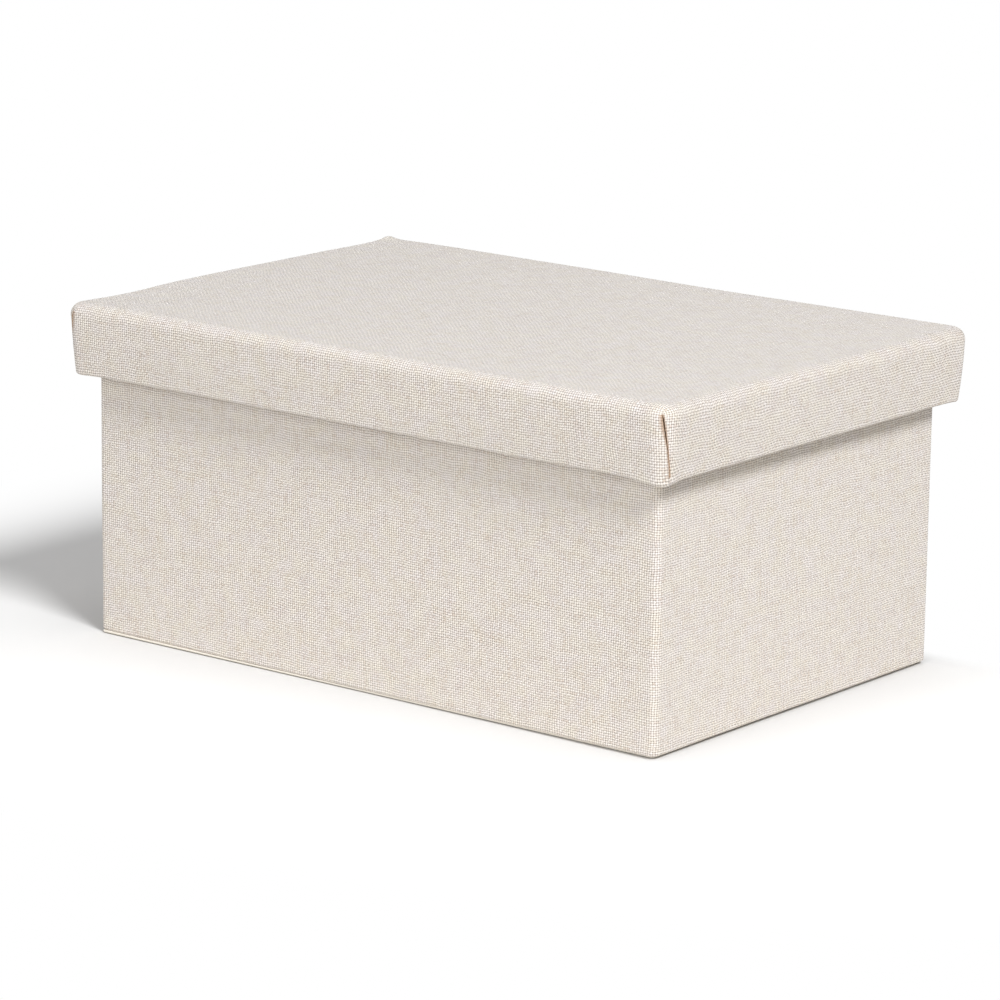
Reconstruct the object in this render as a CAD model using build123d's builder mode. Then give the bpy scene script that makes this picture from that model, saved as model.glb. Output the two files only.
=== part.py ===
"""A cloth-covered photo storage box: a greyboard tray with a padded lift-off lid.

Millimetres. X runs along the long side, Y along the short side and +Z up. The origin is
the centre of the underside, on the surface that the box stands on. The front is -Y.
"""

import math
import os

from build123d import *

os.makedirs("parts", exist_ok=True)

# Overall sizes
body_length = 286.0  # outside of the tray, cloth to cloth
body_width = 185.2
body_height = 132.8  # standing surface to the covered rim
lid_depth = 29.9  # lower edge of the lid to its top

# Sheet materials
cloth = 0.8  # woven cover with its glue
wall_board = 2.5  # greyboard of the tray walls
base_board = 2.5  # greyboard of the tray floor
rim_board = 2.5  # greyboard of the lid rim
lid_board = 2.5  # greyboard of the lid top
lining = 0.4  # lining paper of the tray walls and of the lid
floor_card = 0.6  # thin card on the tray floor
base_sheet_thickness = 1.2  # paper-covered card that closes the underside
tape = 0.3  # gummed kraft tape over each board corner
padding = 3.0  # foam over the lid top and at the top of the rim
padding_foot = 1.2  # foam at the lower edge of the rim

# Tray details
body_corner_radius = 3.2  # upright edges, outside the cloth
body_foot_radius = 2.4  # edges round the underside, outside the cloth
body_hem = 24.0  # cloth turned in over the rim, measured down the inside
lining_lap = 10.0  # how far the wall lining covers the hem's raw edge
base_flap = 18.0  # cloth turned in under the base, measured from the tray's outside
base_sheet_inset = 1.6  # from the tray's outside to the sheet's edge
base_sheet_corner_radius = 2.0
floor_card_play = 0.3  # round the floor card
body_tape_leg = 20.0  # tape on each face beside the corner
fold_radius = 1.0  # where the cloth turns over a board edge
mitre_gap = 0.3  # between two turned-in flaps where they meet at a corner
seam_gap = 0.3  # between the two ends of the tray's cloth
seam_inset = 14.0  # from the tray's end to that seam

# Lid details
lid_gap = 2.3  # running gap between the lid's hem and the tray
lid_corner_radius = 5.6  # upright edges, outside the cloth
lid_edge_radius = 5.0  # padded edges round the top, outside the cloth
rim_corner_radius = 1.2  # upright edges of the boards under the padding
lid_hem = 16.0  # cloth turned in under the rim, measured up the inside
lid_lining_lap = 6.0  # how far the rim lining covers the hem's raw edge
lid_tape_leg = 16.0
padding_gap = 1.4  # between the ends of two foam strips at a corner
slit_top_width = 1.3  # the cloth's cut edges stand apart below the padded edge
slit_foot_width = 0.3
slit_top_turn = 33.0  # degrees round the corner, from square to the long side
slit_foot_turn = 75.0
slit_from_top = 3.6  # from the lid's top to where the slit opens
slit_from_foot = 2.6  # from the lid's lower edge to where it closes

# Tray, worked out: each layer lies against the next one
core_length = body_length - 2 * cloth  # over the boards
core_width = body_width - 2 * cloth
core_floor = base_sheet_thickness + cloth  # underside of the boards
core_top = body_height - cloth  # upper edge of the wall boards
core_corner_radius = body_corner_radius - cloth
core_foot_radius = body_foot_radius - cloth
inner_length = core_length - 2 * wall_board  # between the wall boards
inner_width = core_width - 2 * wall_board
base_top = core_floor + base_board
hem_foot = core_top - body_hem
flap_opening_length = body_length - 2 * base_flap
flap_opening_width = body_width - 2 * base_flap

# Lid, worked out from the tray that it slips over
rim_inner_length = body_length + 2 * (lid_gap + cloth)  # between the rim boards
rim_inner_width = body_width + 2 * (lid_gap + cloth)
rim_length = rim_inner_length + 2 * rim_board  # over the rim boards
rim_width = rim_inner_width + 2 * rim_board
lid_length = rim_length + 2 * (padding + cloth)  # over the cloth, at its widest
lid_width = rim_width + 2 * (padding + cloth)
ceiling = body_height + lining  # underside of the lid's top board
lid_board_top = ceiling + lid_board
lid_top = lid_board_top + padding + cloth
lid_foot = lid_top - lid_depth
rim_foot = lid_foot + cloth  # lower edge of the rim boards
lid_hem_top = rim_foot + lid_hem
rim_slope = (padding - padding_foot) / lid_depth  # the padded rim narrows to its foot


def save(made, name):
    """Label a finished piece and write it to its own STEP file."""
    made.part.label = name
    export_step(made.part, f"parts/{name}.step")


def block(length, width, bottom, top, corner_radius=0.0, foot_radius=0.0):
    """An upright block with rounded upright edges and a rounded edge round its foot."""
    with BuildPart() as made:
        with BuildSketch(Plane.XY.offset(bottom)):
            if corner_radius:
                RectangleRounded(length, width, corner_radius)
            else:
                Rectangle(length, width)
        extrude(amount=top - bottom)
        if foot_radius:
            fillet(made.faces().sort_by(Axis.Z)[0].edges(), foot_radius)
    return made.part


def hoop(length, width, thickness, bottom, top):
    """A rectangular tube that stands upright, its wall lying inside the given outline."""
    with BuildPart() as made:
        with BuildSketch(Plane.XY.offset(bottom)):
            Rectangle(length, width)
            Rectangle(length - 2 * thickness, width - 2 * thickness, mode=Mode.SUBTRACT)
        extrude(amount=top - bottom)
    return made.part


def lid_block(inset, bottom):
    """The lid's padded outside drawn in by inset: it narrows to its foot, and its edges are soft."""
    top = lid_top - inset
    foot_inset = inset + rim_slope * (top - bottom)
    with BuildPart() as made:
        with BuildSketch(Plane.XY.offset(bottom)):
            RectangleRounded(
                lid_length - 2 * foot_inset, lid_width - 2 * foot_inset, lid_corner_radius - foot_inset
            )
        extrude(amount=top - bottom, taper=-math.degrees(math.atan(rim_slope)))
        fillet(made.faces().sort_by(Axis.Z)[-1].edges(), lid_edge_radius - inset)
    return made.part


def wall_boards(owner, kind, length, width, thickness, bottom, top, outside):
    """Four boards on edge: the long ones run right through and the end ones fit between them."""
    y_offset = (width - thickness) / 2
    x_offset = (length - thickness) / 2
    end_width = width - 2 * thickness
    layout = {
        "front": (0, -y_offset, length, thickness),
        "back": (0, y_offset, length, thickness),
        "left": (-x_offset, 0, thickness, end_width),
        "right": (x_offset, 0, thickness, end_width),
    }
    for side, (x, y, x_size, y_size) in layout.items():
        with BuildPart() as board:
            with BuildSketch(Plane.XY.offset(bottom)):
                with Locations((x, y)):
                    Rectangle(x_size, y_size)
            extrude(amount=top - bottom)
            add(outside, mode=Mode.INTERSECT)
        save(board, f"{owner}_{side}_{kind}")


def corner_tapes(length, width, corner_radius, leg, bottom, top):
    """Four strips of tape, each folded round one upright corner of a rectangle of boards."""
    with BuildPart() as made:
        with BuildSketch(Plane.XY.offset(bottom)):
            RectangleRounded(length + 2 * tape, width + 2 * tape, corner_radius + tape)
            RectangleRounded(length, width, corner_radius, mode=Mode.SUBTRACT)
            Rectangle(length - 2 * leg, width + 4 * tape, mode=Mode.SUBTRACT)
            Rectangle(length + 4 * tape, width - 2 * leg, mode=Mode.SUBTRACT)
        extrude(amount=top - bottom)
    return made


def mitre_cuts(length, width, reach, bottom, top):
    """Thin upright cuts that run inwards at 45 degrees from the corners of a rectangle."""
    with BuildPart() as made:
        with BuildSketch(Plane.XY.offset(bottom)):
            with Locations(Location((length / 2, width / 2), -135)):
                Rectangle(reach, mitre_gap, align=(Align.MIN, Align.CENTER))
            mirror(about=Plane.YZ)
            mirror(about=Plane.XZ)
        extrude(amount=top - bottom)
    return made.part


def corner_cuts(top_width, foot_width, bottom, top, inner, outer):
    """Leaning cuts through the lid's four upright edges, just on the end face's side of each.

    The cut runs outwards between the radii inner and outer about the corner's own centre.
    """
    mid_turn = (slit_top_turn + slit_foot_turn) / 2
    lean = lid_corner_radius * math.radians(slit_foot_turn - slit_top_turn) / 2
    outward = Vector(math.sin(math.radians(mid_turn)), -math.cos(math.radians(mid_turn)), 0)
    along = Vector(-outward.Y, outward.X, 0)
    centre = Vector(lid_length / 2 - lid_corner_radius, lid_corner_radius - lid_width / 2, 0)
    with BuildPart() as made:
        with BuildSketch(Plane(origin=centre + outward * inner, x_dir=along, z_dir=outward)):
            Polygon(
                (-lean - top_width / 2, top),
                (-lean + top_width / 2, top),
                (lean + foot_width / 2, bottom),
                (lean - foot_width / 2, bottom),
                align=None,
            )
        extrude(amount=outer - inner)
        mirror(about=Plane.YZ)
        mirror(about=Plane.XZ)
    return made.part


# The tray's outside with its cloth on, and the boards' outside under the cloth
body_outside = block(
    body_length, body_width, base_sheet_thickness, body_height, body_corner_radius, body_foot_radius
)
body_core = block(
    core_length, core_width, core_floor, core_top, core_corner_radius, core_foot_radius
)

# Tray boards: the base board lies between the four walls
with BuildPart() as body_base_board:
    with BuildSketch(Plane.XY.offset(core_floor)):
        Rectangle(inner_length, inner_width)
    extrude(amount=base_board)
save(body_base_board, "body_base_board")

wall_boards(
    "body", "board", core_length, core_width, wall_board, core_floor, core_top, body_core
)

# Tape holds the board corners before the box is covered
body_corner_tapes = corner_tapes(
    core_length,
    core_width,
    core_corner_radius,
    body_tape_leg,
    core_floor + core_foot_radius,
    core_top,
)
save(body_corner_tapes, "body_corner_tapes")

# What the tray's cloth wraps: all of the core, except where the hem lies inside the walls
with BuildPart() as body_filling:
    add(body_core)
    add(block(inner_length, inner_width, hem_foot, core_top), mode=Mode.SUBTRACT)

# One strip of cloth goes round the walls. It turns in over the rim and under the base,
# where its flaps are mitred, and its two ends meet on the back near a corner.
with BuildPart() as body_cover:
    add(body_outside)
    with BuildSketch(Plane.XY.offset(hem_foot)):
        Rectangle(inner_length - 2 * cloth, inner_width - 2 * cloth)
    extrude(amount=body_height - hem_foot, mode=Mode.SUBTRACT)
    fillet(body_cover.faces().sort_by(Axis.Z)[-1].edges(), fold_radius)
    add(body_filling.part, mode=Mode.SUBTRACT)
    with BuildSketch(Plane.XY.offset(base_sheet_thickness)):
        Rectangle(flap_opening_length, flap_opening_width)
    extrude(amount=cloth, mode=Mode.SUBTRACT)
    add(body_corner_tapes.part, mode=Mode.SUBTRACT)
    add(
        mitre_cuts(
            core_length - 2 * core_corner_radius,
            core_width - 2 * core_corner_radius,
            2 * base_flap,
            base_sheet_thickness,
            core_floor,
        ),
        mode=Mode.SUBTRACT,
    )
    add(
        mitre_cuts(inner_length, inner_width, 2 * cloth, hem_foot, core_top),
        mode=Mode.SUBTRACT,
    )
    with BuildSketch(Plane.XY.offset(base_sheet_thickness)):
        with Locations((body_length / 2 - seam_inset, body_width / 2)):
            Rectangle(seam_gap, 2 * base_flap)
    extrude(amount=body_height - base_sheet_thickness, mode=Mode.SUBTRACT)
save(body_cover, "body_cover")

# Card fills the space between the flaps, so that the sheet under it lies flat
with BuildPart() as base_filler_card:
    with BuildSketch(Plane.XY.offset(base_sheet_thickness)):
        Rectangle(flap_opening_length, flap_opening_width)
    extrude(amount=cloth)
save(base_filler_card, "base_filler_card")

with BuildPart() as base_sheet:
    with BuildSketch(Plane.XY):
        RectangleRounded(
            body_length - 2 * base_sheet_inset,
            body_width - 2 * base_sheet_inset,
            base_sheet_corner_radius,
        )
    extrude(amount=base_sheet_thickness)
save(base_sheet, "base_sheet")

# Paper lines the walls, and steps in where it laps over the raw edge of the hem
with BuildPart() as body_wall_lining:
    add(hoop(inner_length, inner_width, lining, base_top, hem_foot))
    add(hoop(inner_length, inner_width, cloth + lining, hem_foot - lining, hem_foot))
    add(
        hoop(
            inner_length - 2 * cloth,
            inner_width - 2 * cloth,
            lining,
            hem_foot - lining,
            hem_foot + lining_lap,
        )
    )
save(body_wall_lining, "body_wall_lining")

floor_card_inset = lining + floor_card_play
with BuildPart() as body_floor_lining:
    with BuildSketch(Plane.XY.offset(base_top)):
        Rectangle(inner_length - 2 * floor_card_inset, inner_width - 2 * floor_card_inset)
    extrude(amount=floor_card)
save(body_floor_lining, "body_floor_lining")

# The lid's outside with its cloth on, its padding's outside, and its boards' outside
lid_outside = lid_block(0.0, lid_foot)
lid_core = lid_block(cloth, rim_foot)
lid_boards = block(rim_length, rim_width, rim_foot, lid_board_top, rim_corner_radius)

# Lid boards: the top board lies on the four rim boards
with BuildPart() as lid_top_board:
    with BuildSketch(Plane.XY.offset(ceiling)):
        RectangleRounded(rim_length, rim_width, rim_corner_radius)
    extrude(amount=lid_board)
save(lid_top_board, "lid_top_board")

wall_boards("lid", "rim_board", rim_length, rim_width, rim_board, rim_foot, ceiling, lid_boards)

lid_corner_tapes = corner_tapes(
    rim_length, rim_width, rim_corner_radius, lid_tape_leg, rim_foot, lid_board_top
)
save(lid_corner_tapes, "lid_corner_tapes")

# Foam covers the top and softens its edges
with BuildPart() as lid_top_padding:
    add(lid_core)
    with BuildSketch(Plane.XY.offset(rim_foot)):
        Rectangle(lid_length, lid_width)
    extrude(amount=lid_board_top - rim_foot, mode=Mode.SUBTRACT)
save(lid_top_padding, "lid_top_padding")

# Foam strips go round the rim. They thin out to its foot and stop short of each other.
with BuildPart() as rim_padding:
    add(lid_core)
    add(lid_top_padding.part, mode=Mode.SUBTRACT)
    add(lid_boards, mode=Mode.SUBTRACT)
    add(lid_corner_tapes.part, mode=Mode.SUBTRACT)
    add(
        corner_cuts(
            padding_gap, padding_gap, rim_foot, lid_board_top, 0.0, lid_corner_radius
        ),
        mode=Mode.SUBTRACT,
    )
strips_by_y = rim_padding.solids().sort_by(Axis.Y)
strips_by_x = rim_padding.solids().sort_by(Axis.X)
strips = {
    "front": strips_by_y[0],
    "back": strips_by_y[-1],
    "left": strips_by_x[0],
    "right": strips_by_x[-1],
}
for side, strip in strips.items():
    with BuildPart() as side_padding:
        add(strip)
    save(side_padding, f"lid_{side}_padding")

# The lid's cover is one piece of cloth, stretched over the foam and turned in under the
# rim. Its corners are cut, and the cut edges stand apart in a slit beside each upright edge.
with BuildPart() as lid_filling:
    add(lid_core)
    add(block(rim_inner_length, rim_inner_width, rim_foot, lid_hem_top), mode=Mode.SUBTRACT)

with BuildPart() as lid_cover:
    add(lid_outside)
    with BuildSketch(Plane.XY.offset(lid_foot)):
        Rectangle(rim_inner_length - 2 * cloth, rim_inner_width - 2 * cloth)
    extrude(amount=lid_hem_top - lid_foot, mode=Mode.SUBTRACT)
    fillet(lid_cover.faces().sort_by(Axis.Z)[0].edges(), fold_radius)
    add(lid_filling.part, mode=Mode.SUBTRACT)
    add(
        mitre_cuts(rim_inner_length, rim_inner_width, 2 * cloth, rim_foot, lid_hem_top),
        mode=Mode.SUBTRACT,
    )
    add(
        corner_cuts(
            slit_top_width,
            slit_foot_width,
            lid_foot + slit_from_foot,
            lid_top - slit_from_top,
            lid_corner_radius / 2,
            lid_corner_radius + cloth,
        ),
        mode=Mode.SUBTRACT,
    )
save(lid_cover, "lid_cover")

# Paper lines the lid: round the rim, lapped over the hem's raw edge, and under the top
with BuildPart() as lid_rim_lining:
    add(hoop(rim_inner_length, rim_inner_width, lining, lid_hem_top, ceiling))
    add(
        hoop(rim_inner_length, rim_inner_width, cloth + lining, lid_hem_top, lid_hem_top + lining)
    )
    add(
        hoop(
            rim_inner_length - 2 * cloth,
            rim_inner_width - 2 * cloth,
            lining,
            lid_hem_top - lid_lining_lap,
            lid_hem_top + lining,
        )
    )
save(lid_rim_lining, "lid_rim_lining")

with BuildPart() as lid_top_lining:
    with BuildSketch(Plane.XY.offset(body_height)):
        Rectangle(rim_inner_length - 2 * lining, rim_inner_width - 2 * lining)
    extrude(amount=lining)
save(lid_top_lining, "lid_top_lining")
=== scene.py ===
import bmesh
import bpy
import numpy as np
from mathutils import Matrix


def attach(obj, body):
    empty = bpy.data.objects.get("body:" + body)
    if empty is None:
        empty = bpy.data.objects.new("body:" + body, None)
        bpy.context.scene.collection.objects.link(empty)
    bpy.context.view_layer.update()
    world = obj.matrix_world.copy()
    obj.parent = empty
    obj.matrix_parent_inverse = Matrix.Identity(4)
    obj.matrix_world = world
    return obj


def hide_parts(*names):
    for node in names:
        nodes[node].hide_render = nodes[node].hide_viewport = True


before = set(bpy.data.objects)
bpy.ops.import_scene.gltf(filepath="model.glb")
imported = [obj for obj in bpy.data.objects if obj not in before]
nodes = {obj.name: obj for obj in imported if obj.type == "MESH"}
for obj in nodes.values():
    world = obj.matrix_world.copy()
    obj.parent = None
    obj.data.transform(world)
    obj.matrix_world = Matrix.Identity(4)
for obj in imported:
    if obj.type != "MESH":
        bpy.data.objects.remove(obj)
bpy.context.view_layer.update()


# --- Camera ---------------------------------------------------------------------------------------
# A long lens about two metres away, a little above the box and off its front right corner. It is
# held very slightly out of level.

yaw, pitch, roll = np.radians([38.4039, 13.4458, 0.7530])
camera_place = [1.15664, -1.46686, 0.50860]
looking = np.array([-np.sin(yaw) * np.cos(pitch), np.cos(yaw) * np.cos(pitch), -np.sin(pitch)])
level = np.array([np.cos(yaw), np.sin(yaw), 0.0])
upright = np.cross(level, looking)
camera_data = bpy.data.cameras.new("camera")
camera_data.sensor_width = 36.0
camera_data.lens = 169.781
camera = bpy.data.objects.new("camera", camera_data)
pose = np.eye(4)
pose[:3, 0] = np.cos(roll) * level + np.sin(roll) * upright
pose[:3, 1] = -np.sin(roll) * level + np.cos(roll) * upright
pose[:3, 2] = -looking
pose[:3, 3] = camera_place
camera.matrix_world = Matrix(pose.tolist())
bpy.context.scene.collection.objects.link(camera)
bpy.context.scene.camera = camera
bpy.context.scene.view_settings.view_transform = "Standard"


# --- Boards of the tray and the lid ---------------------------------------------------------------
# Greyboard, pressed from waste paper and guillotined. The walls stand round the base board and
# butt at the corners; the lid's top board lies on its rim. Cloth, foam and linings cover them.


def srgb(code):
    """A hex colour as it is written for a screen, turned to linear light."""
    shares = np.array([int(code[i : i + 2], 16) for i in (1, 3, 5)]) / 255.0
    return (*np.where(shares <= 0.04045, shares / 12.92, ((shares + 0.055) / 1.055) ** 2.4), 1.0)


def put(tree, kind, joined=None, **settings):
    """Adds one node. settings are its properties; joined gives each input a value or a socket."""
    node = tree.nodes.new(kind)
    for name, value in settings.items():
        setattr(node, name, value)
    for name, value in (joined or {}).items():
        if isinstance(value, bpy.types.NodeSocket):
            tree.links.new(value, node.inputs[name])
        else:
            node.inputs[name].default_value = value
    return node


# Matt board: grey and brown fibres felted in tufts about a millimetre across, and specks of ink
# under half a millimetre
greyboard = bpy.data.materials.new("greyboard")
greyboard.use_nodes = True
tree = greyboard.node_tree
place = put(tree, "ShaderNodeTexCoord").outputs["Object"]
fibres = put(tree, "ShaderNodeTexNoise", {"Vector": place, "Scale": 900.0, "Detail": 3.0})
specks = put(tree, "ShaderNodeTexNoise", {"Vector": place, "Scale": 2400.0, "Detail": 1.0})
board_tone = put(tree, "ShaderNodeValToRGB", {"Fac": fibres.outputs["Fac"]})
board_tones = ((0.3, "#7d7063"), (0.7, "#a39683"))
for stop, (where, colour) in zip(board_tone.color_ramp.elements, board_tones):
    stop.position, stop.color = where, srgb(colour)
speck_mask = put(
    tree,
    "ShaderNodeMapRange",
    {"Value": specks.outputs["Fac"], "From Min": 0.66, "From Max": 0.74, "To Max": 0.5},
)
board_mix = put(
    tree,
    "ShaderNodeMix",
    {0: speck_mask.outputs[0], 6: board_tone.outputs["Color"], 7: srgb("#4a443d")},
    data_type="RGBA",
)
board_relief = put(
    tree, "ShaderNodeBump", {"Height": fibres.outputs["Fac"], "Distance": 0.0001, "Strength": 0.6}
)
shader = tree.nodes["Principled BSDF"]
shader.inputs["Roughness"].default_value = 0.9
tree.links.new(board_mix.outputs[2], shader.inputs["Base Color"])
tree.links.new(board_relief.outputs[0], shader.inputs["Normal"])

for name in (
    "body_base_board",
    "body_front_board",
    "body_back_board",
    "body_left_board",
    "body_right_board",
    "lid_top_board",
    "lid_front_rim_board",
    "lid_back_rim_board",
    "lid_left_rim_board",
    "lid_right_rim_board",
):
    nodes[name].data.materials.clear()
    nodes[name].data.materials.append(greyboard)


# --- Corner tapes ---------------------------------------------------------------------------------
# Gummed kraft paper tape, wetted and folded round each upright corner of the boards. It is what
# shows, deep and brown, through the slits in the lid's cloth.

# Machine-glazed brown paper: fibres run along the tape, and it is slightly shiny
kraft_tape = bpy.data.materials.new("kraft_paper_tape")
kraft_tape.use_nodes = True
tree = kraft_tape.node_tree
place = put(tree, "ShaderNodeTexCoord").outputs["Object"]
along = put(tree, "ShaderNodeMapping", {"Vector": place, "Scale": (1.0, 1.0, 0.25)})
fibres = put(
    tree, "ShaderNodeTexNoise", {"Vector": along.outputs[0], "Scale": 1400.0, "Detail": 4.0}
)
tape_tone = put(tree, "ShaderNodeValToRGB", {"Fac": fibres.outputs["Fac"]})
tape_tones = ((0.35, "#8a5f3c"), (0.7, "#b58456"))
for stop, (where, colour) in zip(tape_tone.color_ramp.elements, tape_tones):
    stop.position, stop.color = where, srgb(colour)
shader = tree.nodes["Principled BSDF"]
shader.inputs["Roughness"].default_value = 0.65
tree.links.new(tape_tone.outputs["Color"], shader.inputs["Base Color"])
for name in ("body_corner_tapes", "lid_corner_tapes"):
    nodes[name].data.materials.clear()
    nodes[name].data.materials.append(kraft_tape)


# --- The tray's cloth -----------------------------------------------------------------------------
# One strip of coarse linen-look cloth glued round the walls, its ends meeting on the back near a
# corner. It turns in over the rim, and under the base, where its flaps are mitred.

tray_corner_x, tray_corner_y = 139.8, 89.4  # centres of the upright edges' rounding
tray_bend = 3.2  # radius of that rounding, outside the cloth
tray_foot, foot_radius = 1.2, 1.1  # underside of the flaps, and their fold up into the walls
tray_rim, rim_radius, hem_radius = 132.8, 1.4, 1.0  # top of the rim, and its two folds
flap_edge, hem_face, hem_edge = -14.8, -0.9, 108.0  # where the flaps and the hem end
cloth_thickness = 0.75
tray_unevenness = 0.06
seam_x = 129.0
seam_gap = 0.001  # from the seam's line to each cut edge, as a share of tray_corner_x
seam_glue, hidden_glue = 0.66, 1.0  # how far glue has soaked the raw edges


def along_profile(*stretches):
    """A profile as one array of (out, height), from straight stretches and arcs in turn.

    A straight stretch is its end point and its number of steps, and starts where the last one
    ended. An arc is its centre, radius, first and last angle in degrees and number of steps:
    centre plus radius times the cosine and sine of an angle that goes evenly between the two.
    """
    points = [np.array([stretches[0]], float)]
    for stretch in stretches[1:]:
        if len(stretch) == 3:
            end, steps = np.array(stretch[:2], float), stretch[2]
            share = np.linspace(0, 1, steps + 1)[1:, None]
            points.append(points[-1][-1] + share * (end - points[-1][-1]))
        else:
            out, height, radius, first, last, steps = stretch
            turn = np.radians(np.linspace(first, last, steps + 1))[1:]
            arc = [out + radius * np.cos(turn), height + radius * np.sin(turn)]
            points.append(np.stack(arc, 1))
    return np.concatenate(points)


def length_along(profile):
    """How far along a profile each of its points is: the running sum of its steps' lengths."""
    steps = np.hypot(*np.diff(profile, axis=0).T)
    return np.concatenate([[0.0], np.cumsum(steps)])


def wrapped(corner_x, corner_y, share_x, share_y, turn, out, height):
    """Points of a sheet that goes round a box, a row for each point of its profile.

    A column starts at a share, -1 to 1, of the way to the rounding's centre in X and in Y. A
    point is that place plus its row's distance out along the column's turn, an angle from the
    front. Rows inside the rectangle of those centres draw it in, with square corners.
    """
    bend = np.maximum(out, 0.0)
    x = share_x * (corner_x + out - bend) + bend * np.sin(turn)
    y = share_y * (corner_y + out - bend) - bend * np.cos(turn)
    return np.stack([x, y, height + 0 * x], -1)


def hand_laid(points, amount):
    """Moves each point by amount times a few slow waves, which a hand leaves in glued cloth.

    The way along each axis is a product of two sines of the other two coordinates, plus half of
    the sine of their sum or difference in X and in Y. The waves are 50 to 160 mm long.
    """
    x, y, z = np.moveaxis(points, -1, 0)
    waves = np.stack(
        [
            np.sin(y / 17 + 0.4) * np.sin(z / 21 + 1.1) + 0.5 * np.sin(y / 8.1 + z / 13),
            np.sin(x / 23 + 2.0) * np.sin(z / 19 + 0.3) + 0.5 * np.sin(x / 9.3 - z / 11),
            np.sin(x / 25 + 0.9) * np.sin(y / 18 + 2.2),
        ],
        -1,
    )
    return points + amount * waves


def laid_piece(name, patches, weld):
    """A mesh from patches, each a grid of points, their u and v, and how near a raw edge they are.

    All is in millimetres, but the last, which is 1 at a raw edge and 0 away from it. Every four
    neighbours of a grid are a face. Points closer than weld become one point.
    """
    points, flats, raws, faces, first = [], [], [], [], 0
    for place, flat, raw in patches:
        rows, columns = place.shape[:2]
        number = first + np.arange(rows * columns).reshape(rows, columns)
        corners = (number[:-1, :-1], number[:-1, 1:], number[1:, 1:], number[1:, :-1])
        faces.append(np.stack(corners, -1).reshape(-1, 4))
        points.append(place.reshape(-1, 3))
        flats.append(flat.reshape(-1, 2))
        raws.append(np.broadcast_to(raw, (rows, columns)).ravel())
        first += rows * columns
    points, flats, faces = np.concatenate(points), np.concatenate(flats), np.concatenate(faces)
    mesh = bpy.data.meshes.new(name)
    mesh.from_pydata((points / 1000).tolist(), [], faces.tolist())
    threads = mesh.uv_layers.new(name="threads_mm")
    threads.data.foreach_set("uv", flats[faces.ravel()].astype(np.float32).ravel())
    raw_edge = mesh.attributes.new("raw_edge", "FLOAT", "POINT")
    raw_edge.data.foreach_set("value", np.concatenate(raws).astype(np.float32))
    welded = bmesh.new()
    welded.from_mesh(mesh)
    bmesh.ops.remove_doubles(welded, verts=welded.verts, dist=weld / 1000)
    welded.to_mesh(mesh)
    welded.free()
    mesh.shade_smooth()
    piece = bpy.data.objects.new(name, mesh)
    bpy.context.scene.collection.objects.link(piece)
    return piece


corner_steps, long_steps, short_steps = 10, 96, 64
quarter = np.linspace(0, 1, corner_steps + 1)[1:-1]
long_way, short_way = np.linspace(-1, 1, long_steps + 1), np.linspace(-1, 1, short_steps + 1)
seam_share = seam_x / tray_corner_x
side_parts = [  # share_x, share_y, quarter turns and the part of the next, from seam to seam
    (np.linspace(seam_share - seam_gap, -1, long_steps), 1.0, 2.0, 0.0),
    (-1.0, 1.0, 2.0, quarter),
    (-1.0, -short_way, 3.0, 0.0),
    (-1.0, -1.0, 3.0, quarter),
    (long_way, -1.0, 4.0, 0.0),
    (1.0, -1.0, 4.0, quarter),
    (1.0, short_way, 5.0, 0.0),
    (1.0, 1.0, 5.0, quarter),
    (np.linspace(1, seam_share + seam_gap, 5), 1.0, 6.0, 0.0),
]
spread = [np.broadcast_arrays(x, y, side + part) for x, y, side, part in side_parts]
share_x, share_y, turns = (np.concatenate([part[k] for part in spread]) for k in range(3))
turn = turns * np.pi / 2
tray_profile = along_profile(
    (flap_edge, tray_foot),
    (tray_bend - foot_radius, tray_foot, 6),
    (tray_bend - foot_radius, tray_foot + foot_radius, foot_radius, -90, 0, 8),
    (tray_bend, tray_rim - rim_radius, 48),
    (tray_bend - rim_radius, tray_rim - rim_radius, rim_radius, 0, 90, 6),
    (hem_face + hem_radius, tray_rim, 2),
    (hem_face + hem_radius, tray_rim - hem_radius, hem_radius, 90, 180, 5),
    (hem_face, hem_edge, 8),
)
out, height = tray_profile.T[:, :, None]
points = wrapped(tray_corner_x, tray_corner_y, share_x, share_y, turn, out, height)

# u runs round the wall, and follows the threads in where the flaps and the hem are drawn in. v
# runs up it, and is the height on the wall.
wall_row = 18  # a row of the profile that is on the wall
wall = points[wall_row]
round_wall = np.concatenate([[0.0], np.cumsum(np.hypot(*np.diff(wall[:, :2], axis=0).T))])
part_turn = turns % 1
along_side = np.where(
    np.isclose(part_turn, 0), np.cos(turn) * share_x + np.sin(turn) * share_y, 1 - 2 * part_turn
)
drawn_in = np.minimum(out, 0.0) * along_side
up_wall = length_along(tray_profile)
up_wall += tray_profile[wall_row, 1] - up_wall[wall_row]
flat = np.stack([round_wall + drawn_in, up_wall[:, None] + 0 * points[..., 0]], -1)
raw = np.zeros(points.shape[:2])
raw[:, [0, -1]] = seam_glue
raw[[0, -1]] = hidden_glue
laid_points = hand_laid(points, tray_unevenness)
tray_cloth = laid_piece("tray_cloth", [(laid_points, flat, raw)], weld=0.002)

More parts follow.
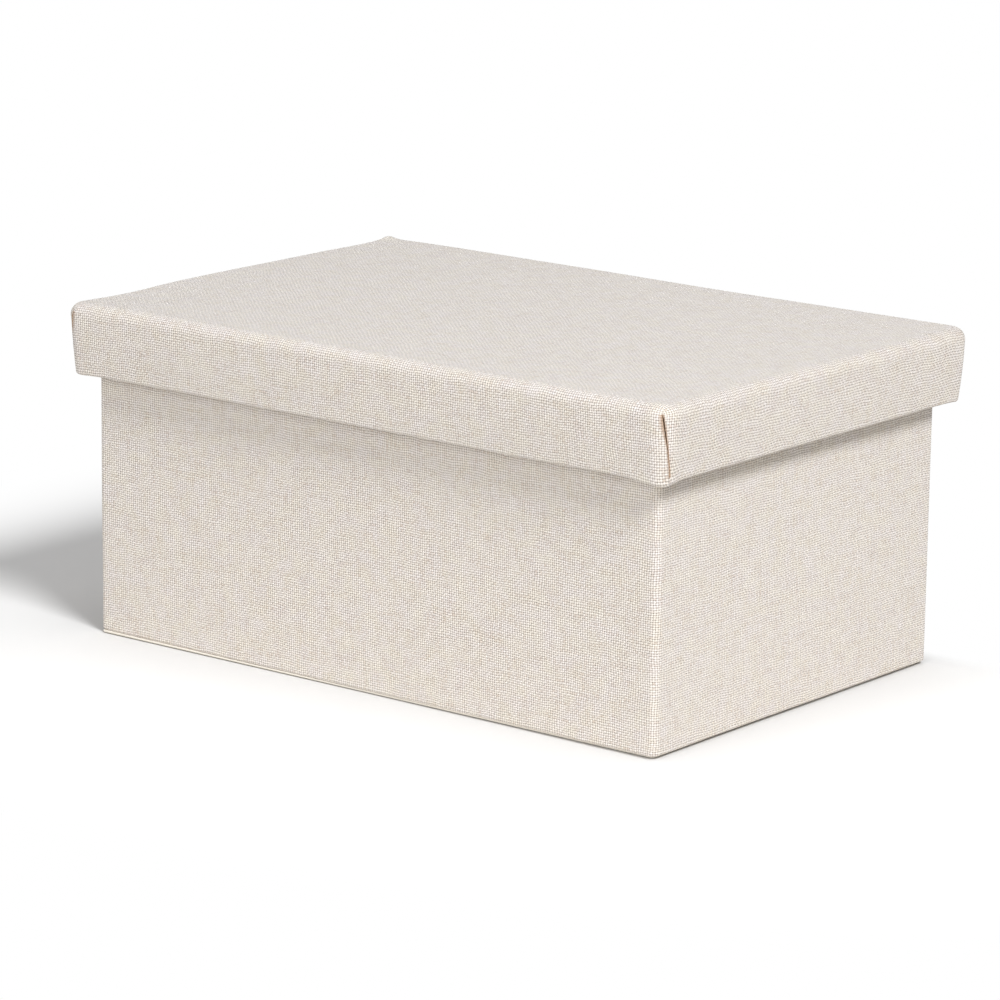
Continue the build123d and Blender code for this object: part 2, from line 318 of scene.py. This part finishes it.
# Coarse plain weave of polyester and linen-look yarn, its threads about 1 mm apart each way. The
# yarns are spun from cream, straw and pinkish grey fibres; the gaps between them get painted shade.
yarn_pitch_u, yarn_pitch_v = 1.062, 0.94
natural_cloth = bpy.data.materials.new("natural_woven_cloth")
natural_cloth.use_nodes = True
tree = natural_cloth.node_tree
threads = put(tree, "ShaderNodeUVMap", uv_map="threads_mm").outputs[0]
split = put(tree, "ShaderNodeSeparateXYZ", {0: threads})
wander = put(tree, "ShaderNodeTexNoise", {"Vector": threads, "Scale": 0.09, "Detail": 1.0})
wander_split = put(tree, "ShaderNodeSeparateColor", {0: wander.outputs["Color"]})
value = {
    "u": split.outputs[0],
    "v": split.outputs[1],
    "shift_u": wander_split.outputs[0],
    "shift_v": wander_split.outputs[1],
}
# A yarn is a rounded ridge across its pitch, which rises over one crossing yarn and dives under
# the next. Of the two at a point the higher is on top, and gives its colour and its slope.
for made, operation, *terms in (
    ("sway_u", "MULTIPLY", "shift_u", 1.7),
    ("sway_v", "MULTIPLY", "shift_v", 1.7),
    ("yarns_u", "MULTIPLY_ADD", "u", 1 / yarn_pitch_u, "sway_u"),
    ("yarns_v", "MULTIPLY_ADD", "v", 1 / yarn_pitch_v, "sway_v"),
    ("turn_u", "MULTIPLY", "yarns_u", np.pi),
    ("turn_v", "MULTIPLY", "yarns_v", np.pi),
    ("wave_u", "SINE", "turn_u"),
    ("wave_v", "SINE", "turn_v"),
    ("side_u", "SIGN", "wave_u"),
    ("side_v", "SIGN", "wave_v"),
    ("across_u", "ABSOLUTE", "wave_u"),
    ("across_v", "ABSOLUTE", "wave_v"),
    ("round_u", "POWER", "across_u", 0.3),
    ("round_v", "POWER", "across_v", 0.6),
    ("rise_v", "MULTIPLY", "wave_v", "side_u"),
    ("rise_u", "MULTIPLY", "wave_u", "side_v"),
    ("swell_v", "MULTIPLY", "rise_v", 0.5),
    ("swell_u", "MULTIPLY", "rise_u", -0.5),
    ("upright_yarn", "MULTIPLY_ADD", "round_u", 0.5, "swell_v"),
    ("level_yarn", "MULTIPLY_ADD", "round_v", 0.55, "swell_u"),
    ("relief", "MAXIMUM", "upright_yarn", "level_yarn"),
    ("upright_on_top", "GREATER_THAN", "upright_yarn", "level_yarn"),
    ("upright_number", "FLOOR", "yarns_u"),
    ("level_number", "FLOOR", "yarns_v"),
    ("upright_seed", "MULTIPLY", "upright_number", 7.31),
    ("level_seed", "MULTIPLY", "level_number", 9.17),
    ("upright_length", "MULTIPLY", "v", 0.12),
    ("level_length", "MULTIPLY", "u", 0.12),
    ("part_u", "FRACT", "yarns_u"),
    ("part_v", "FRACT", "yarns_v"),
    ("tilt_u", "MULTIPLY_ADD", "part_u", 2.0, -1.0),
    ("tilt_v", "MULTIPLY_ADD", "part_v", 2.0, -1.0),
    ("steep_u", "MULTIPLY_ADD", "upright_on_top", 0.35, 0.15),
    ("steep_v", "MULTIPLY_ADD", "upright_on_top", -0.3, 0.45),
    ("slope_u", "MULTIPLY", "tilt_u", "steep_u"),
    ("slope_v", "MULTIPLY", "tilt_v", "steep_v"),
    ("lean_u", "ADD", "slope_u", 0.5),
    ("lean_v", "ADD", "slope_v", 0.5),
):
    joined = {i: value[term] if isinstance(term, str) else term for i, term in enumerate(terms)}
    value[made] = put(tree, "ShaderNodeMath", joined, operation=operation).outputs[0]
yarn_tones = {}
for yarn, across, along in (
    ("upright", "upright_seed", "upright_length"),
    ("level", "level_length", "level_seed"),
):
    yarn_place = put(tree, "ShaderNodeCombineXYZ", {0: value[across], 1: value[along]})
    yarn_tones[yarn] = put(
        tree,
        "ShaderNodeTexNoise",
        {"Vector": yarn_place.outputs[0], "Scale": 1.0, "Detail": 3.0, "Roughness": 0.6},
    ).outputs["Fac"]
yarn_tone = put(
    tree,
    "ShaderNodeMix",
    {0: value["upright_on_top"], 2: yarn_tones["level"], 3: yarn_tones["upright"]},
)
yarn_colour = put(tree, "ShaderNodeValToRGB", {"Fac": yarn_tone.outputs[0]})
yarn_colours = ((0.28, "#e1d6cc"), (0.72, "#faf7f3"))
for stop, (where, colour) in zip(yarn_colour.color_ramp.elements, yarn_colours):
    stop.position, stop.color = where, srgb(colour)
yarn_colour.color_ramp.elements.new(0.5).color = srgb("#f2eee8")
patchy = put(tree, "ShaderNodeTexNoise", {"Vector": threads, "Scale": 0.14, "Detail": 2.0})
hue = put(tree, "ShaderNodeValToRGB", {"Fac": patchy.outputs["Fac"]})
hues = ((0.35, "#fefbf6"), (0.65, "#fdfafc"))
for stop, (where, colour) in zip(hue.color_ramp.elements, hues):
    stop.position, stop.color = where, srgb(colour)
dyed = put(
    tree,
    "ShaderNodeMix",
    {0: 1.0, 6: yarn_colour.outputs["Color"], 7: hue.outputs["Color"]},
    data_type="RGBA",
    blend_type="MULTIPLY",
)
# Painted shade: the colour darkens where the relief is low, in the gaps between the yarns
painted_gap_shade = put(tree, "ShaderNodeValToRGB", {"Fac": value["relief"]})
gap_shade_tones = ((0.12, "#85776a"), (0.88, "#ffffff"))
for stop, (where, colour) in zip(painted_gap_shade.color_ramp.elements, gap_shade_tones):
    stop.position, stop.color = where, srgb(colour)
shaded = put(
    tree,
    "ShaderNodeMix",
    {0: 1.0, 6: dyed.outputs[2], 7: painted_gap_shade.outputs["Color"]},
    data_type="RGBA",
    blend_type="MULTIPLY",
)
raw_edge = put(tree, "ShaderNodeAttribute", attribute_name="raw_edge")
glued = put(
    tree,
    "ShaderNodeMapRange",
    {"Value": raw_edge.outputs["Fac"], "From Min": 0.45, "From Max": 0.8},
)
stained = put(
    tree,
    "ShaderNodeMix",
    {0: glued.outputs[0], 6: shaded.outputs[2], 7: srgb("#b5957a")},
    data_type="RGBA",
)
lean = put(tree, "ShaderNodeCombineColor", {0: value["lean_u"], 1: value["lean_v"], 2: 1.0})
weave_relief = put(
    tree, "ShaderNodeNormalMap", {"Color": lean.outputs[0]}, uv_map="threads_mm"
)
shader = tree.nodes["Principled BSDF"]
shader.inputs["Roughness"].default_value = 0.85
shader.inputs["Specular IOR Level"].default_value = 0.3
shader.inputs["Sheen Weight"].default_value = 0.45
shader.inputs["Sheen Roughness"].default_value = 0.5
tree.links.new(stained.outputs[2], shader.inputs["Base Color"])
tree.links.new(weave_relief.outputs[0], shader.inputs["Normal"])

# Where the cloth is cut, its ends fray and the brown glue shows between them
cut_edge = bpy.data.materials.new("cut_cloth_edge")
cut_edge.use_nodes = True
tree = cut_edge.node_tree
place = put(tree, "ShaderNodeTexCoord").outputs["Object"]
ends = put(tree, "ShaderNodeTexNoise", {"Vector": place, "Scale": 1500.0, "Detail": 2.0})
fray = put(tree, "ShaderNodeValToRGB", {"Fac": ends.outputs["Fac"]})
fray_colours = ((0.35, "#a5866a"), (0.7, "#cfb296"))
for stop, (where, colour) in zip(fray.color_ramp.elements, fray_colours):
    stop.position, stop.color = where, srgb(colour)
shader = tree.nodes["Principled BSDF"]
shader.inputs["Roughness"].default_value = 0.9
tree.links.new(fray.outputs["Color"], shader.inputs["Base Color"])


def finish_cloth(piece):
    """Gives a sheet its weave, its cut edges and its thickness, which goes inwards."""
    piece.data.materials.append(natural_cloth)
    piece.data.materials.append(cut_edge)
    thick = piece.modifiers.new("thickness", "SOLIDIFY")
    thick.thickness = cloth_thickness / 1000
    thick.offset = -1.0
    thick.material_offset_rim = 1


finish_cloth(tray_cloth)
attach(tray_cloth, "box")
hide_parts("body_cover")


# --- Base sheet and the card between the flaps ----------------------------------------------------
# A paper-covered card closes the underside over the cloth's turned-in flaps, and a thinner card
# fills the space between them, so that it lies flat. It was laid by hand, a little askew and
# forward, and its edge has curled up.

# Wove paper: cream, matt, with a fine fibrous tooth
paper = bpy.data.materials.new("wove_paper")
paper.use_nodes = True
tree = paper.node_tree
place = put(tree, "ShaderNodeTexCoord").outputs["Object"]
tooth = put(tree, "ShaderNodeTexNoise", {"Vector": place, "Scale": 1800.0, "Detail": 3.0})
cloudy = put(tree, "ShaderNodeTexNoise", {"Vector": place, "Scale": 110.0, "Detail": 3.0})
paper_tone = put(tree, "ShaderNodeValToRGB", {"Fac": cloudy.outputs["Fac"]})
paper_tones = ((0.3, "#e9e3d8"), (0.7, "#ede7dd"))
for stop, (where, colour) in zip(paper_tone.color_ramp.elements, paper_tones):
    stop.position, stop.color = where, srgb(colour)
paper_relief = put(
    tree,
    "ShaderNodeBump",
    {"Height": tooth.outputs["Fac"], "Distance": 0.00004, "Strength": 0.7},
)
shader = tree.nodes["Principled BSDF"]
shader.inputs["Roughness"].default_value = 0.8
tree.links.new(paper_tone.outputs["Color"], shader.inputs["Base Color"])
tree.links.new(paper_relief.outputs[0], shader.inputs["Normal"])

sheet_x, sheet_y, sheet_bend = 141.4, 91.0, 2.0  # half its length and width, its corners' radius
sheet_thickness = 1.2
curl_start, curl_end, curl = -4.0, 1.75, 0.5  # out from the corners' centres, and how high it goes
lower_arris, upper_arris = 0.2, 0.15
sheet_askew = np.radians(0.5)
sheet_shift_x, sheet_shift_y = -0.9, -1.1
bend_columns = 7
quarter_turns = np.linspace(0, np.pi / 2, bend_columns)
turn = np.concatenate([quarter_turns + k * np.pi / 2 for k in range(4)] + [[0.0]])
share_x = np.append(np.repeat([1.0, 1.0, -1.0, -1.0], bend_columns), 1.0)
share_y = np.append(np.repeat([-1.0, 1.0, 1.0, -1.0], bend_columns), -1.0)
edge_profile = along_profile(
    (sheet_bend - sheet_y, 0.0),
    (curl_start, 0.0, 6),
    (curl_end, curl, 6),
    (sheet_bend - lower_arris, curl + lower_arris, lower_arris, -75, 0, 3),
    (sheet_bend, sheet_thickness - upper_arris, 2),
    (sheet_bend - upper_arris, sheet_thickness - upper_arris, upper_arris, 0, 90, 3),
    (sheet_bend - sheet_y, sheet_thickness, 6),
)
out, height = edge_profile.T[:, :, None]
points = wrapped(sheet_x - sheet_bend, sheet_y - sheet_bend, share_x, share_y, turn, out, height)
x, y = points[..., 0].copy(), points[..., 1].copy()
points[..., 0] = x * np.cos(sheet_askew) - y * np.sin(sheet_askew) + sheet_shift_x
points[..., 1] = x * np.sin(sheet_askew) + y * np.cos(sheet_askew) + sheet_shift_y
base_sheet = laid_piece("base_sheet_askew", [(points, points[..., :2], 0.0)], weld=0.002)
base_sheet.data.materials.append(paper)
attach(base_sheet, "box")
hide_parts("base_sheet")
nodes["base_filler_card"].data.materials.clear()
nodes["base_filler_card"].data.materials.append(greyboard)


# --- Linings --------------------------------------------------------------------------------------
# Cream paper round the inside of the tray and of the lid's rim, lapped over the cloth's raw edge,
# a thin card on the tray's floor and paper under the lid's top.

for name in ("body_wall_lining", "body_floor_lining", "lid_rim_lining", "lid_top_lining"):
    nodes[name].data.materials.clear()
    nodes[name].data.materials.append(paper)


# --- The lid's cloth ------------------------------------------------------------------------------
# One sheet of the same cloth, stretched over the foam and turned in under the rim. Each corner is
# cut, and a slit that leans from beside the upright edge shows where the two cut edges part.

lid_corner_x, lid_corner_y = 145.1, 94.7  # centres of the upright edges' rounding
lid_bend, foot_out, hem_out = 8.0, 6.1, 0.21  # how far out from them the cloth is, on its way down
lid_top, lid_foot, lid_hem_edge = 139.5, 109.6, 126.4
edge_radius, foot_fold, inner_fold = 5.0, 1.6, 1.0  # of the top's edge, and under the rim
belly = 0.35  # how much the padded side bulges at half its height
lid_unevenness = 0.08
lid_pull = 0.955  # stretched front to back, so that its threads stand further apart that way


def settled(points):
    """Lets the padded lid down a little along its left end and the middle of its back edge.

    Heights change by upper, which goes evenly from 0 at 122 mm to 1 at 134 mm, times a sum. In it
    are left, the square of the way over the last 56 mm to the left end, times half a millimetre
    and two bell curves along Y; behind, the same over 30 mm to the back, times a bell curve along
    X; and less tip, a narrow bell curve that stands up at the far left corner. The left end's
    foot goes in by 1.2 times the cube of left, less as it goes up and on the face alone.
    """
    x, y, z = np.moveaxis(points, -1, 0)
    upper = np.clip((z - 122) / 12, 0, 1)
    left = np.clip((-x - 95) / 56, 0, 1) ** 2
    dips = 0.5 + 0.75 * np.exp(-(((y + 70) / 22) ** 2)) + 0.45 * np.exp(-(((y - 80) / 18) ** 2))
    behind = np.clip((y - 72) / 30, 0, 1) ** 2 * np.exp(-(((x - 25) / 45) ** 2))
    tip = np.exp(-((x + 148) ** 2 + (y - 98) ** 2) / 10)
    let_down = upper * (left * dips + 0.6 * behind - 1.1 * tip)
    drawn_in = 1.2 * left**3 * (1 - upper) * np.clip((-x - 149) / 1.5, 0, 1)
    return points + np.stack([drawn_in, 0 * y, -let_down], -1)


edge_start = lid_top - edge_radius
rim = np.linspace(0, 1, 31)[1:, None]  # from the foot's fold up to the rounded edge
fold_top = lid_foot + foot_fold
rim_out = foot_out + (lid_bend - foot_out) * rim + belly * np.sin(np.pi * rim)
rim_wall = np.hstack([rim_out, fold_top + (edge_start - fold_top) * rim])
hem_and_foot = along_profile(
    (hem_out, lid_hem_edge),
    (hem_out, lid_foot + inner_fold, 8),
    (hem_out + inner_fold, lid_foot + inner_fold, inner_fold, 180, 270, 5),
    (foot_out - foot_fold, lid_foot, 3),
    (foot_out - foot_fold, fold_top, foot_fold, -90, 0, 6),
)
rounded_edge = along_profile(
    (lid_bend, edge_start),
    (lid_bend - edge_radius, edge_start, edge_radius, 0, 90, 14),
    (0.0, lid_top, 3),
)
lid_profile = np.concatenate([hem_and_foot, rim_wall, rounded_edge[1:]])
out, height = lid_profile.T[:, :, None]
over_edge = (length_along(lid_profile)[-1] - length_along(lid_profile))[:, None]
last_inner_row = 16  # the rows after it are outside, from the foot's fold up
outer = (np.arange(len(lid_profile)) > last_inner_row)[:, None]

# A slit's turn round its corner, in degrees, at its top and how much further it is at its foot
turns_and_leans = ((36, 31), (36, 31), (36, 31), (19, 32))  # front right corner, and on round
hem_turn = 60  # where the hem is cut, inside the rim
slit_top, slit_foot = 136.4, 112.0
down = np.clip((slit_top - height) / (slit_top - slit_foot), 0, 1)
slit_turns = [
    np.radians(np.where(outer, first + lean * down, hem_turn)) for first, lean in turns_and_leans
]
# How far the cut edges stand apart at these heights: least near the foot, most near the top
slit_heights = [slit_foot, 113.5, 117.0, 119.0, 123.0, 127.0, 132.0, 135.0, slit_top]
slit_widths = [0, 0.22, 0.2, 0.16, 0.28, 0.42, 0.5, 0.45, 0]
opening = np.interp(np.where(outer, height, 0), slit_heights, slit_widths)
half_slit = opening / 2 / lid_bend

corner_part = np.linspace(0, 1, 9)[1:]
bend = np.maximum(out, 0.0)
toe_depths = ((0.6, 1.6), (1.6, 0.6), (0.6, 0.6), (0.6, 0.6))  # how low each flap's ends hang
toe_width, toe_top, toe_rise = 10.0, 124.0, 14.0
fan_end, fan_length = 4.0, 7.0  # below the top's edge, where threads turn from fanned to straight
lid_patches = []
for side in range(4):  # front, right end, back and left end
    lengthwise = side % 2 == 0
    way = long_way if lengthwise else short_way
    corner_along = lid_corner_x if lengthwise else lid_corner_y
    corner_across = lid_corner_y if lengthwise else lid_corner_x
    lead = np.concatenate([-corner_part[::-1], 0 * way, corner_part])
    slit_turn = np.where(lead > 0, slit_turns[side], slit_turns[side - 1])
    reach = slit_turn - half_slit if lengthwise else np.pi / 2 - slit_turn - half_slit
    turned = lead * reach
    share = np.concatenate([-1 + 0 * corner_part, way, 1 + 0 * corner_part])
    turn = turned + side * np.pi / 2
    share_x, share_y = [(share, -1.0), (1.0, share), (-share, 1.0), (-1.0, -share)][side]
    flap_along = share * (corner_along + out - bend) + bend * turned

    # The flap's ends hang lowest a little past the end of its straight
    toe_place = corner_along + (4.0 if lengthwise else 8.0)
    left_depth, right_depth = toe_depths[side]
    sag = left_depth * np.exp(-(((toe_place + flap_along) / toe_width) ** 2))
    sag = sag + right_depth * np.exp(-(((toe_place - flap_along) / toe_width) ** 2))
    low = np.clip((toe_top - height) / toe_rise, 0, 1) ** 2
    points = wrapped(lid_corner_x, lid_corner_y, share_x, share_y, turn, out, height - sag * low)

    # Threads fan out round the rounded edge's corners, and run straight down the flap below it
    flap_out = corner_across + over_edge + 0 * turned
    fan_along = share * corner_along + over_edge * np.sin(turned)
    fan_out = corner_across + over_edge * np.cos(turned)
    loose = np.clip((over_edge - fan_end) / fan_length, 0, 1)
    loose = loose * loose * (3 - 2 * loose)
    cut_along = fan_along + (flap_along - fan_along) * loose
    cut_out = fan_out + (flap_out - fan_out) * loose
    u, v = [
        (cut_along, -cut_out),
        (cut_out, cut_along),
        (-cut_along, cut_out),
        (-cut_out, -cut_along),
    ][side]

    # Glue has soaked the cut edges, furthest near the slit's top on the front and the back
    soaked = 0.7 + (1.2 * np.clip((height - 126) / 4, 0, 1) if lengthwise else 0.0)
    from_cut = lid_bend * (reach - np.abs(turned))
    raw = np.where(opening > 0, np.clip(0.8 - 0.35 * from_cut / soaked, 0, 1), 0.0)
    raw[0] = hidden_glue
    lid_patches.append((points, np.stack([u, lid_pull * v], -1), raw))
across, back = np.meshgrid(long_way * lid_corner_x, short_way * lid_corner_y)
flat = np.stack([across, lid_pull * back], -1)
lid_patches.append((np.stack([across, back, lid_top + 0 * across], -1), flat, 0.0))
lid_patches = [
    (settled(hand_laid(points, lid_unevenness)), *rest) for points, *rest in lid_patches
]
lid_cloth = laid_piece("lid_cloth", lid_patches, weld=0.004)
finish_cloth(lid_cloth)
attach(lid_cloth, "lid")
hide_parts("lid_cover")


# --- The lid's padding ----------------------------------------------------------------------------
# Polyurethane foam, about 3 mm thick, cut with a knife: a sheet over the top board, and a strip
# down each side of the rim, pressed thin at its foot. The cloth rounds its edges.

# Open cells under half a millimetre across, with painted shade in them; a little yellowed in places
foam = bpy.data.materials.new("cream_foam")
foam.use_nodes = True
tree = foam.node_tree
place = put(tree, "ShaderNodeTexCoord").outputs["Object"]
cells = put(
    tree,
    "ShaderNodeTexVoronoi",
    {"Vector": place, "Scale": 2600.0},
    feature="DISTANCE_TO_EDGE",
)
hollow = put(tree, "ShaderNodeMapRange", {"Value": cells.outputs["Distance"], "From Max": 0.25})
yellowed = put(tree, "ShaderNodeTexNoise", {"Vector": place, "Scale": 60.0, "Detail": 3.0})
foam_tone = put(tree, "ShaderNodeValToRGB", {"Fac": yellowed.outputs["Fac"]})
for stop, colour in zip(foam_tone.color_ramp.elements, ("#dccb9f", "#f0e8cd")):
    stop.color = srgb(colour)
# Painted shade: each cell darkens towards its hollow middle
foam_with_pore_shade = put(
    tree,
    "ShaderNodeMix",
    {0: hollow.outputs[0], 6: foam_tone.outputs["Color"], 7: srgb("#b8a377")},
    data_type="RGBA",
)
foam_relief = put(
    tree,
    "ShaderNodeBump",
    {"Height": hollow.outputs[0], "Distance": 0.0002, "Strength": 0.8},
    invert=True,
)
shader = tree.nodes["Principled BSDF"]
shader.inputs["Roughness"].default_value = 0.95
tree.links.new(foam_with_pore_shade.outputs[2], shader.inputs["Base Color"])
tree.links.new(foam_relief.outputs[0], shader.inputs["Normal"])

# The sheet goes right over the board's edge, where the cloth rounds it; its corners are trimmed
board_top = 135.74
foam_foot, foam_top, foam_radius = 135.76, 138.5, 4.0
corner_trim = 2.2
sheet_profile = along_profile(
    (-lid_corner_y, foam_foot),
    (6.7, foam_foot, 24),
    (2.9, foam_top - foam_radius, foam_radius, 18.5, 90, 9),
    (-lid_corner_y, foam_top, 24),
)
out, height = sheet_profile.T[:, :, None]
way_round = [
    (long_way, -1.0, 0.0),
    (1.0, -1.0, quarter),
    (1.0, short_way, 1.0),
    (1.0, 1.0, 1.0 + quarter),
    (-long_way, 1.0, 2.0),
    (-1.0, 1.0, 2.0 + quarter),
    (-1.0, -short_way, 3.0),
    (-1.0, -1.0, 3.0 + quarter),
    (np.array([-1.0]), -1.0, 4.0),
]
spread = [np.broadcast_arrays(x, y, turns) for x, y, turns in way_round]
share_x, share_y, turns = (np.concatenate([part[k] for part in spread]) for k in range(3))
trimmed = out - np.where(out > 0, corner_trim * np.sin(turns * np.pi) ** 2, 0.0)
turn = turns * np.pi / 2
points = wrapped(lid_corner_x, lid_corner_y, share_x, share_y, turn, trimmed, height)
points = settled(hand_laid(points, lid_unevenness))
points[..., 2] = np.maximum(points[..., 2], board_top)
top_foam = laid_piece("top_foam", [(points, points[..., :2], 0.0)], weld=0.004)
top_foam.data.materials.append(foam)
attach(top_foam, "lid")
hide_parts("lid_top_padding")

# A strip's section, from its foot on the board side round to where it began
strip_section = along_profile(
    (3.9, 110.9),
    (4.8, 110.9, 2),
    (5.1, 111.6, 2),
    (6.9, 134.6, 14),
    (6.5, 135.6, 2),
    (3.9, 135.6, 3),
    (3.9, 110.9, 14),
)
section_middle = strip_section.mean(0)
strip_overhang = 0.4  # past the centres of the upright edges' rounding
pressed_end = 0.9  # the section's size where a strip's closed end starts
for side, name in enumerate(("front", "right", "back", "left")):
    lengthwise = side % 2 == 0
    way = long_way if lengthwise else short_way
    corner_along = lid_corner_x if lengthwise else lid_corner_y
    corner_across = lid_corner_y if lengthwise else lid_corner_x
    along = np.concatenate([[-1.0, -1.0], way, [1.0, 1.0]]) * (corner_along + strip_overhang)
    drawn = np.concatenate([[0.0, pressed_end], 0 * way + 1.0, [pressed_end, 0.0]])
    from_middle = strip_section[:, None] - section_middle
    section = section_middle + drawn[None, :, None] * from_middle
    across, height = section.transpose(2, 0, 1)
    across = across + corner_across
    along = along + 0 * across
    x, y = [(along, -across), (across, along), (-along, across), (-across, -along)][side]
    points = settled(hand_laid(np.stack([x, y, height], -1), lid_unevenness))
    strip_patch = (points, np.stack([along, height], -1), 0.0)
    strip = laid_piece(name + "_foam", [strip_patch], weld=0.004)
    strip.data.materials.append(foam)
    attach(strip, "lid")
    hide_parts("lid_" + name + "_padding")


# --- Floor, light and surroundings ----------------------------------------------------------------
# A white table under a lamp up on the right, with a wider and weaker one low in front. The table
# goes over into a painted white glow behind the box and away from it, and so does the shade on
# its left.

table_reach = 6.0
table_corners = [
    (-table_reach, -table_reach, 0),
    (table_reach, -table_reach, 0),
    (table_reach, table_reach, 0),
    (-table_reach, table_reach, 0),
]
floor_mesh = bpy.data.meshes.new("floor")
floor_mesh.from_pydata(table_corners, [], [(0, 1, 2, 3)])
floor = bpy.data.objects.new("floor", floor_mesh)
bpy.context.scene.collection.objects.link(floor)
white_table = bpy.data.materials.new("white_table")
white_table.use_nodes = True
tree = white_table.node_tree
tree.nodes.clear()
seen = put(tree, "ShaderNodeLightPath")
place = put(tree, "ShaderNodeTexCoord").outputs["Object"]
table_place = put(tree, "ShaderNodeSeparateXYZ", {0: place})

# What the box gets back from the table: warm white, less of it further off, in an oval round it
oval = put(
    tree, "ShaderNodeVectorMath", {0: place, 1: (0.65, 1.0, 0.0)}, operation="MULTIPLY"
).outputs["Vector"]
away = put(tree, "ShaderNodeVectorMath", {0: oval}, operation="LENGTH").outputs["Value"]
given_back = put(
    tree,
    "ShaderNodeMapRange",
    {"Value": away, "From Min": 0.15, "From Max": 0.4, "To Min": 0.8, "To Max": 0.6},
)
warmth = put(
    tree,
    "ShaderNodeMix",
    {0: given_back.outputs[0], 6: (0, 0, 0, 1), 7: (1.0, 0.975, 0.925, 1)},
    data_type="RGBA",
)
plain = put(tree, "ShaderNodeBsdfDiffuse", {"Color": warmth.outputs[2]})

# What is seen of the table: white, with painted shade close round the box's foot
near = put(tree, "ShaderNodeAmbientOcclusion", {"Distance": 0.06})
painted_foot_shade = put(
    tree,
    "ShaderNodeMapRange",
    {"Value": near.outputs["AO"], "From Min": 0.5, "To Min": 0.78, "To Max": 1.0},
)
bright = put(tree, "ShaderNodeBsdfDiffuse", {"Color": painted_foot_shade.outputs[0]})

# It fades into a white glow, painted light over the table and its shade, behind a line that
# slants at the box's left end, far away all round, and to the left of the shade's end
slant = {"Value": table_place.outputs[0], "From Min": -0.19, "From Max": -0.15}
fade_start = put(tree, "ShaderNodeMapRange", {**slant, "To Min": 0.07, "To Max": 0.094})
fade_end = put(tree, "ShaderNodeMapRange", {**slant, "To Min": 0.13, "To Max": 0.11})
behind = put(
    tree,
    "ShaderNodeMapRange",
    {
        "Value": table_place.outputs[1],
        "From Min": fade_start.outputs[0],
        "From Max": fade_end.outputs[0],
    },
    interpolation_type="SMOOTHSTEP",
)
far = put(
    tree,
    "ShaderNodeMapRange",
    {"Value": away, "From Min": 0.2, "From Max": 0.3},
    interpolation_type="SMOOTHSTEP",
)
shade_end = put(
    tree,
    "ShaderNodeMapRange",
    {"Value": table_place.outputs[0], "From Min": -0.25, "From Max": -0.36},
    interpolation_type="SMOOTHSTEP",
)
fade = put(tree, "ShaderNodeMath", {0: behind.outputs[0], 1: far.outputs[0]}, operation="MAXIMUM")
fade = put(
    tree, "ShaderNodeMath", {0: fade.outputs[0], 1: shade_end.outputs[0]}, operation="MAXIMUM"
)
# Painted light: a white glow with no lamp behind it, laid over the table and its shade
painted_white_glow = put(tree, "ShaderNodeEmission", {"Color": (1, 1, 1, 1), "Strength": 1.0})
both = put(
    tree,
    "ShaderNodeMixShader",
    {0: fade.outputs[0], 1: bright.outputs[0], 2: painted_white_glow.outputs[0]},
)
by_ray = put(
    tree,
    "ShaderNodeMixShader",
    {0: seen.outputs["Is Camera Ray"], 1: plain.outputs[0], 2: both.outputs[0]},
)
put(tree, "ShaderNodeOutputMaterial", {0: by_ray.outputs[0]})
floor_mesh.materials.append(white_table)

# White all round where it is seen, and a third as strong where it lights the box
room_light = 0.33
world = bpy.data.worlds.new("world")
bpy.context.scene.world = world
world.use_nodes = True
tree = world.node_tree
tree.nodes.clear()
seen = put(tree, "ShaderNodeLightPath")
sky_seen = seen.outputs["Is Camera Ray"]
for ray in ("Is Glossy Ray", "Is Transmission Ray"):
    either = put(tree, "ShaderNodeMath", {0: sky_seen, 1: seen.outputs[ray]}, operation="MAXIMUM")
    sky_seen = either.outputs[0]
strength = put(
    tree, "ShaderNodeMapRange", {"Value": sky_seen, "To Min": room_light, "To Max": 1.0}
)
sky = put(tree, "ShaderNodeBackground", {"Color": (1, 1, 1, 1), "Strength": strength.outputs[0]})
put(tree, "ShaderNodeOutputWorld", {0: sky.outputs[0]})

lamps_aim = np.array([0.0, 0.0, 0.07])  # the middle of the box
for name, lamp_place, size, watts in (
    ("key_lamp", (2.1, -0.87, 2.35), 1.0, 79.0),
    ("front_lamp", (0.3, -3.0, 1.1), 2.8, 44.0),
):
    lamp_data = bpy.data.lights.new(name, "AREA")
    lamp_data.shape, lamp_data.size, lamp_data.energy = "DISK", size, watts
    lamp = bpy.data.objects.new(name, lamp_data)
    forward = lamps_aim - np.array(lamp_place)
    forward /= np.linalg.norm(forward)
    side_on = np.cross(forward, [0, 0, 1.0])
    side_on /= np.linalg.norm(side_on)
    pose = np.eye(4)
    pose[:3, 0], pose[:3, 1] = side_on, np.cross(side_on, forward)
    pose[:3, 2], pose[:3, 3] = -forward, lamp_place
    lamp.matrix_world = Matrix(pose.tolist())
    bpy.context.scene.collection.objects.link(lamp)
